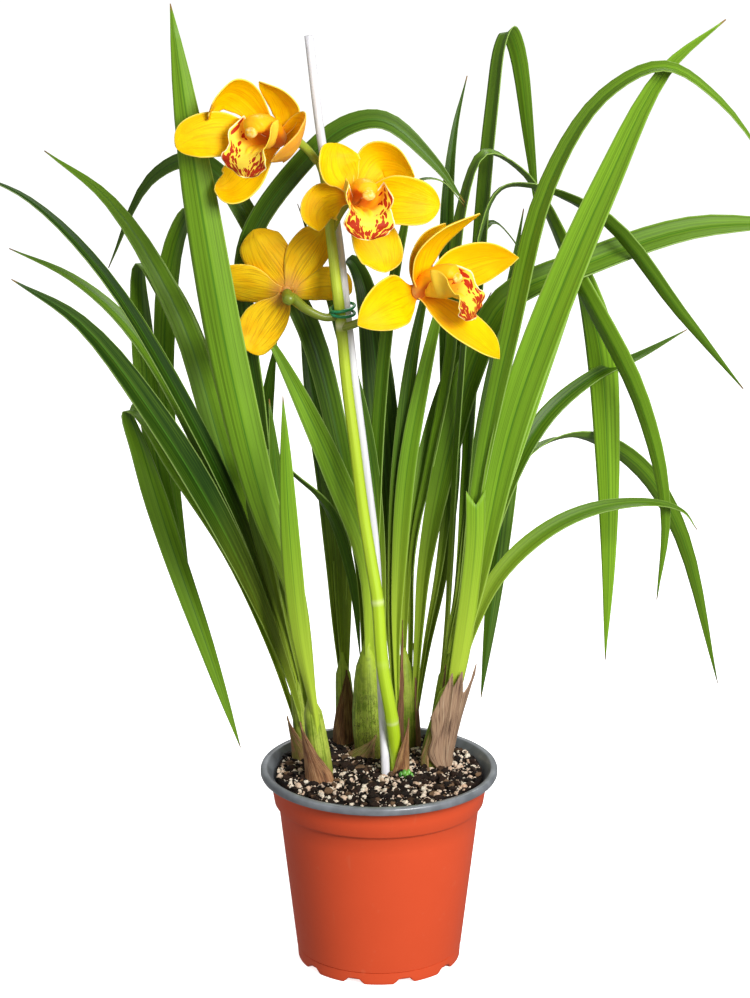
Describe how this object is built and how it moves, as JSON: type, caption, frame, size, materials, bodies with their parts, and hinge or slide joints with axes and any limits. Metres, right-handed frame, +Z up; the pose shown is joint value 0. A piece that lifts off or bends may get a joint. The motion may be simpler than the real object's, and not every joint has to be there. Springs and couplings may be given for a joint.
{
  "type": "potted orchid",
  "caption": "Flowering cymbidium orchid with strap leaves and a staked spike of yellow blooms, growing in bark mix in a round plastic nursery pot.",
  "frame": {"origin": "centre of the pot's flat underside", "axes": "+Z up along the pot's axis, +X to the right seen from the front, the front faces -Y"},
  "size_m": [0.5061, 0.2722, 0.6091],
  "materials": {
    "terracotta_plastic": "satin",
    "bark_mix": "rough",
    "leaf": "satin",
    "dry_bract": "matt",
    "green_stem": "satin",
    "white_plastic": "gloss",
    "green_plastic": "gloss",
    "petal": "satin",
    "lip": "satin"
  },
  "bodies": {
    "root": {"pot": "terracotta_plastic", "potting_mix": "bark_mix", "shoot_left_front": "leaf", "shoot_left_outer": "leaf", "shoot_left_back": "leaf", "shoot_bulb": "leaf", "shoot_middle": "leaf", "shoot_right_front": "leaf", "shoot_right_back": "leaf", "bract_left_front": "dry_bract", "bract_left_outer": "dry_bract", "bract_left_back": "dry_bract", "bract_bulb": "dry_bract", "bract_right_front": "dry_bract", "bract_right_inner": "dry_bract", "bract_spike": "dry_bract", "flower_spike": "green_stem", "stake": "white_plastic", "tie": "green_plastic", "bloom_top": "petal", "lip_top": "lip", "bloom_right_of_spike": "petal", "lip_right_of_spike": "lip", "bloom_left_of_spike": "petal", "lip_left_of_spike": "lip", "bloom_right": "petal", "lip_right": "lip"}
  },
  "joints": []
}
